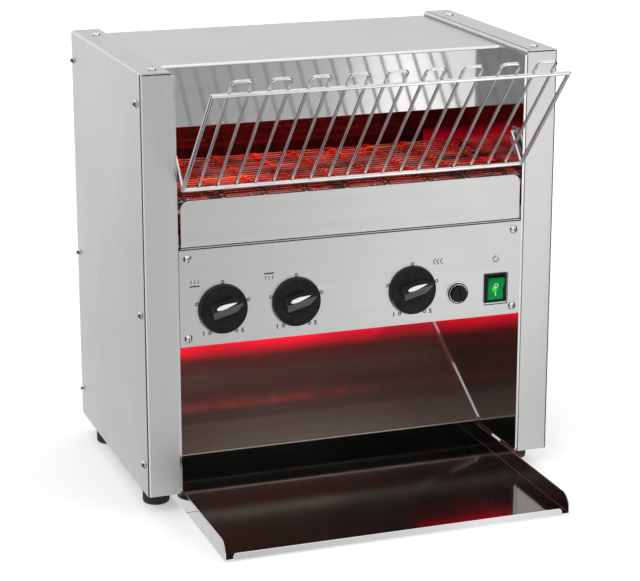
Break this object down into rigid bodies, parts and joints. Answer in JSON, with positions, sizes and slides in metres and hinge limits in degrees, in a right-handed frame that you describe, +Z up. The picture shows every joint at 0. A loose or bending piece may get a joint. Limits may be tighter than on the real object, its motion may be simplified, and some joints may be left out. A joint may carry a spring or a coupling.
{
  "type": "conveyor toaster",
  "caption": "Countertop conveyor toaster: wire feed rack, wire belt between quartz elements, control panel, chute and pull-out collection tray on rubber feet.",
  "frame": {"origin": "middle of the overall footprint, from the tray's lip to the cable gland, at the soles of the feet", "axes": "+X to the right as seen from the front, +Y to the back, out of the cable gland, +Z up"},
  "size_m": [0.418, 0.407, 0.4338],
  "materials": {
    "satin_steel": "satin stainless sheet, grain along the length",
    "polished_steel": "polished stainless sheet, near mirror",
    "chromed_wire": "bright plated wire",
    "plated_screw": "bright pan-head screws",
    "plated_steel": "zinc plated",
    "belt_wire": "heat-darkened stainless wire",
    "quartz": "quartz tube with a glowing filament",
    "ceramic": "unglazed steatite",
    "insulation": "mineral fibre mat",
    "bronze": "sintered bronze",
    "black_knob": "black phenolic, satin",
    "black_plastic": "black nylon",
    "rocker_green": "lit translucent green",
    "black_rubber": "moulded rubber",
    "nylon": "grey nylon",
    "motor_paint": "grey enamel",
    "board": "green laminate with parts",
    "wire_sleeve": "glass-fibre sleeve"
  },
  "bodies": {
    "case": {"left_side_cover": "satin_steel", "right_side_cover": "satin_steel", "left_inner_wall": "polished_steel", "right_inner_wall": "polished_steel", "top_cover": "satin_steel", "rear_cover": "satin_steel", "base_plate": "plated_steel", "control_panel": "satin_steel", "heat_shield": "satin_steel", "control_box": "polished_steel", "discharge_chute": "polished_steel", "upper_reflector": "polished_steel", "lower_reflector": "polished_steel", "upper_insulation": "insulation", "upper_elements": "quartz", "lower_elements": "quartz", "element_end_caps": "ceramic", "shaft_bushes": "bronze", "conveyor_belt": "belt_wire", "belt_runners": "plated_steel", "gearmotor": "motor_paint", "drive_chain": "belt_wire", "fan_housing": "black_plastic", "heat_regulators": "black_plastic", "speed_control": "plated_steel", "fuse_holder": "black_plastic", "switch_housing": "black_plastic", "speed_board": "board", "terminal_block": "ceramic", "cable_gland": "black_plastic", "wiring_loom": "wire_sleeve", "rack_hangers": "plated_steel", "tray_rails": "satin_steel", "tray_guides": "nylon", "rubber_feet": "black_rubber", "foot_screws": "plated_screw", "side_screws": "plated_screw", "top_screws": "plated_screw", "panel_screws": "plated_screw", "rear_screws": "plated_screw"},
    "feed_rack": {"feed_rack": "chromed_wire"},
    "collection_tray": {"collection_tray": "polished_steel"},
    "bottom_heat_control": {"bottom_heat_knob": "black_knob", "bottom_knob_shaft": "bronze"},
    "top_heat_control": {"top_heat_knob": "black_knob", "top_knob_shaft": "bronze"},
    "speed_setting": {"speed_knob": "black_knob", "speed_knob_shaft": "plated_steel"},
    "fuse_cap": {"fuse_cap": "black_plastic"},
    "power_rocker": {"rocker": "rocker_green"},
    "drive_axle": {"drive_shaft": "plated_steel", "drive_sprockets": "plated_steel", "chain_wheel": "plated_steel", "drive_clips": "plated_steel"},
    "idler_axle": {"idler_shaft": "plated_steel", "idler_sprockets": "plated_steel", "idler_clips": "plated_steel"},
    "motor_output": {"motor_shaft": "plated_steel", "motor_sprocket": "plated_steel"},
    "fan_rotor": {"fan_rotor": "black_plastic"}
  },
  "joints": [
    {"name": "feed_rack_lift", "type": "slide", "parent": "case", "child": "feed_rack", "axis": [0, 0, 1], "range_m": [0, 0.03]},
    {"name": "tray_slide", "type": "slide", "parent": "case", "child": "collection_tray", "axis": [0, -1, 0], "range_m": [0, 0.25]},
    {"name": "bottom_heat_turn", "type": "hinge", "parent": "case", "child": "bottom_heat_control", "pos_m": [-0.1306, -0.0765, 0.1983], "axis": [0, -1, 0], "range_deg": [-75, 225]},
    {"name": "top_heat_turn", "type": "hinge", "parent": "case", "child": "top_heat_control", "pos_m": [-0.0583, -0.0765, 0.1983], "axis": [0, -1, 0], "range_deg": [-75, 225]},
    {"name": "speed_turn", "type": "hinge", "parent": "case", "child": "speed_setting", "pos_m": [0.0593, -0.0765, 0.1983], "axis": [0, -1, 0], "range_deg": [-75, 225]},
    {"name": "fuse_cap_turn", "type": "hinge", "parent": "case", "child": "fuse_cap", "pos_m": [0.1064, -0.0765, 0.1907], "axis": [0, -1, 0], "range_deg": [0, 45]},
    {"name": "power_rock", "type": "hinge", "parent": "case", "child": "power_rocker", "pos_m": [0.1461, -0.0715, 0.1925], "axis": [-1, 0, 0], "range_deg": [0, 20]},
    {"name": "drive_axle_turn", "type": "hinge", "parent": "case", "child": "drive_axle", "pos_m": [0, 0.1055, 0.2847], "axis": [-1, 0, 0], "continuous": true},
    {"name": "idler_axle_turn", "type": "hinge", "parent": "case", "child": "idler_axle", "pos_m": [0, -0.0464, 0.2847], "axis": [-1, 0, 0], "continuous": true},
    {"name": "motor_turn", "type": "hinge", "parent": "case", "child": "motor_output", "pos_m": [0.18, 0.0495, 0.2085], "axis": [-1, 0, 0], "continuous": true},
    {"name": "fan_turn", "type": "hinge", "parent": "case", "child": "fan_rotor", "pos_m": [-0.19, -0.0175, 0.2105], "axis": [1, 0, 0], "continuous": true}
  ],
  "couplings": [
    {"joint": "idler_axle_turn", "follows": "drive_axle_turn", "ratio": 1},
    {"joint": "motor_turn", "follows": "drive_axle_turn", "ratio": 1}
  ]
}
